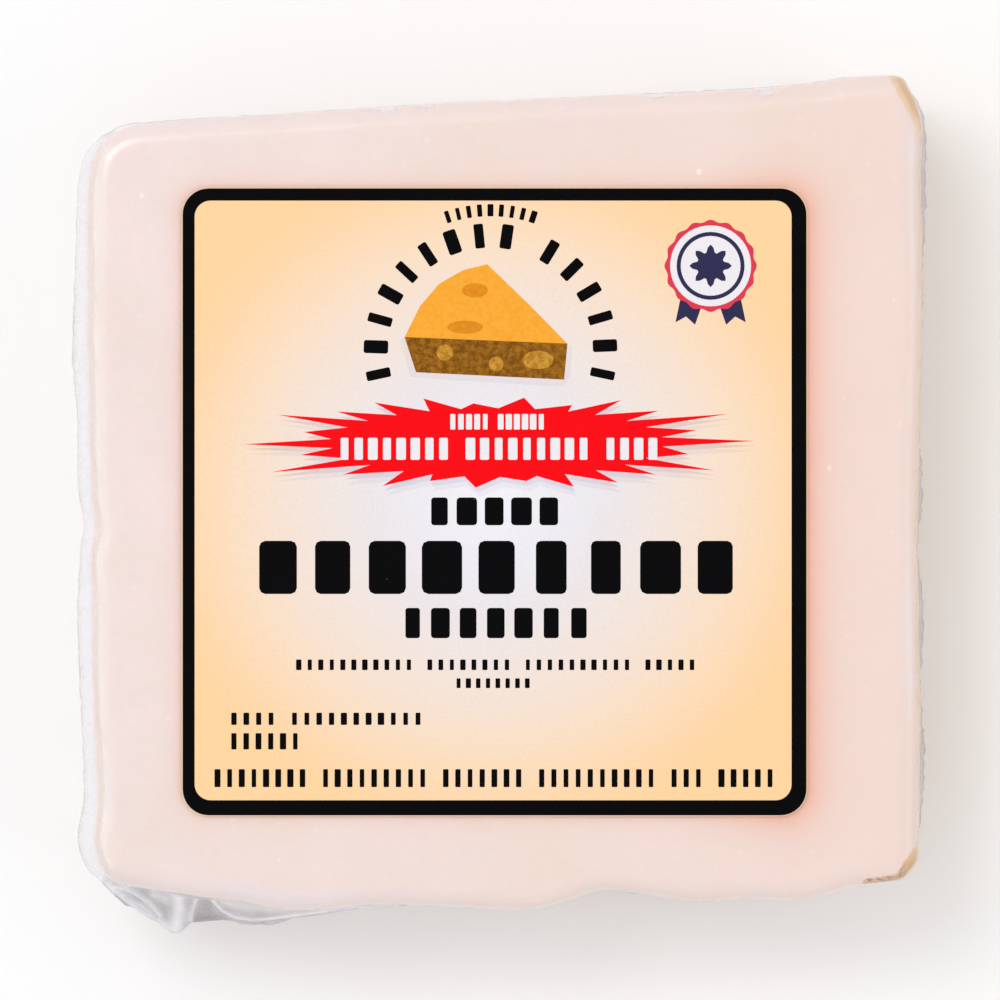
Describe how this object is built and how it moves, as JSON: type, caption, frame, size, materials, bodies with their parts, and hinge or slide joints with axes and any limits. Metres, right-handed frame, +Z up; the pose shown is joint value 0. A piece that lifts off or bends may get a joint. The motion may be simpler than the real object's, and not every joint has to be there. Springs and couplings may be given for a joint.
{
  "type": "vacuum-packed block of parmesan cheese",
  "caption": "Square, hand-cut block of pale parmesan in tight clear film with a loose rim and a pleated corner ear, and a square bordered paper label on its face.",
  "frame": {"origin": "middle of the underside of the pack's box, on the surface it rests on", "axes": "+Z up, out of the labelled face; +X to the right of the label and +Y to the top of the label, as it is read"},
  "size_m": [0.1048, 0.105, 0.0292],
  "materials": {
    "cheese": "satin, pale cheese under tight clear film",
    "film": "gloss, clear pouch film",
    "label": "semi-gloss printed paper"
  },
  "bodies": {
    "root": {"cheese_block": "cheese", "film_margin": "film", "label": "label"}
  },
  "joints": []
}
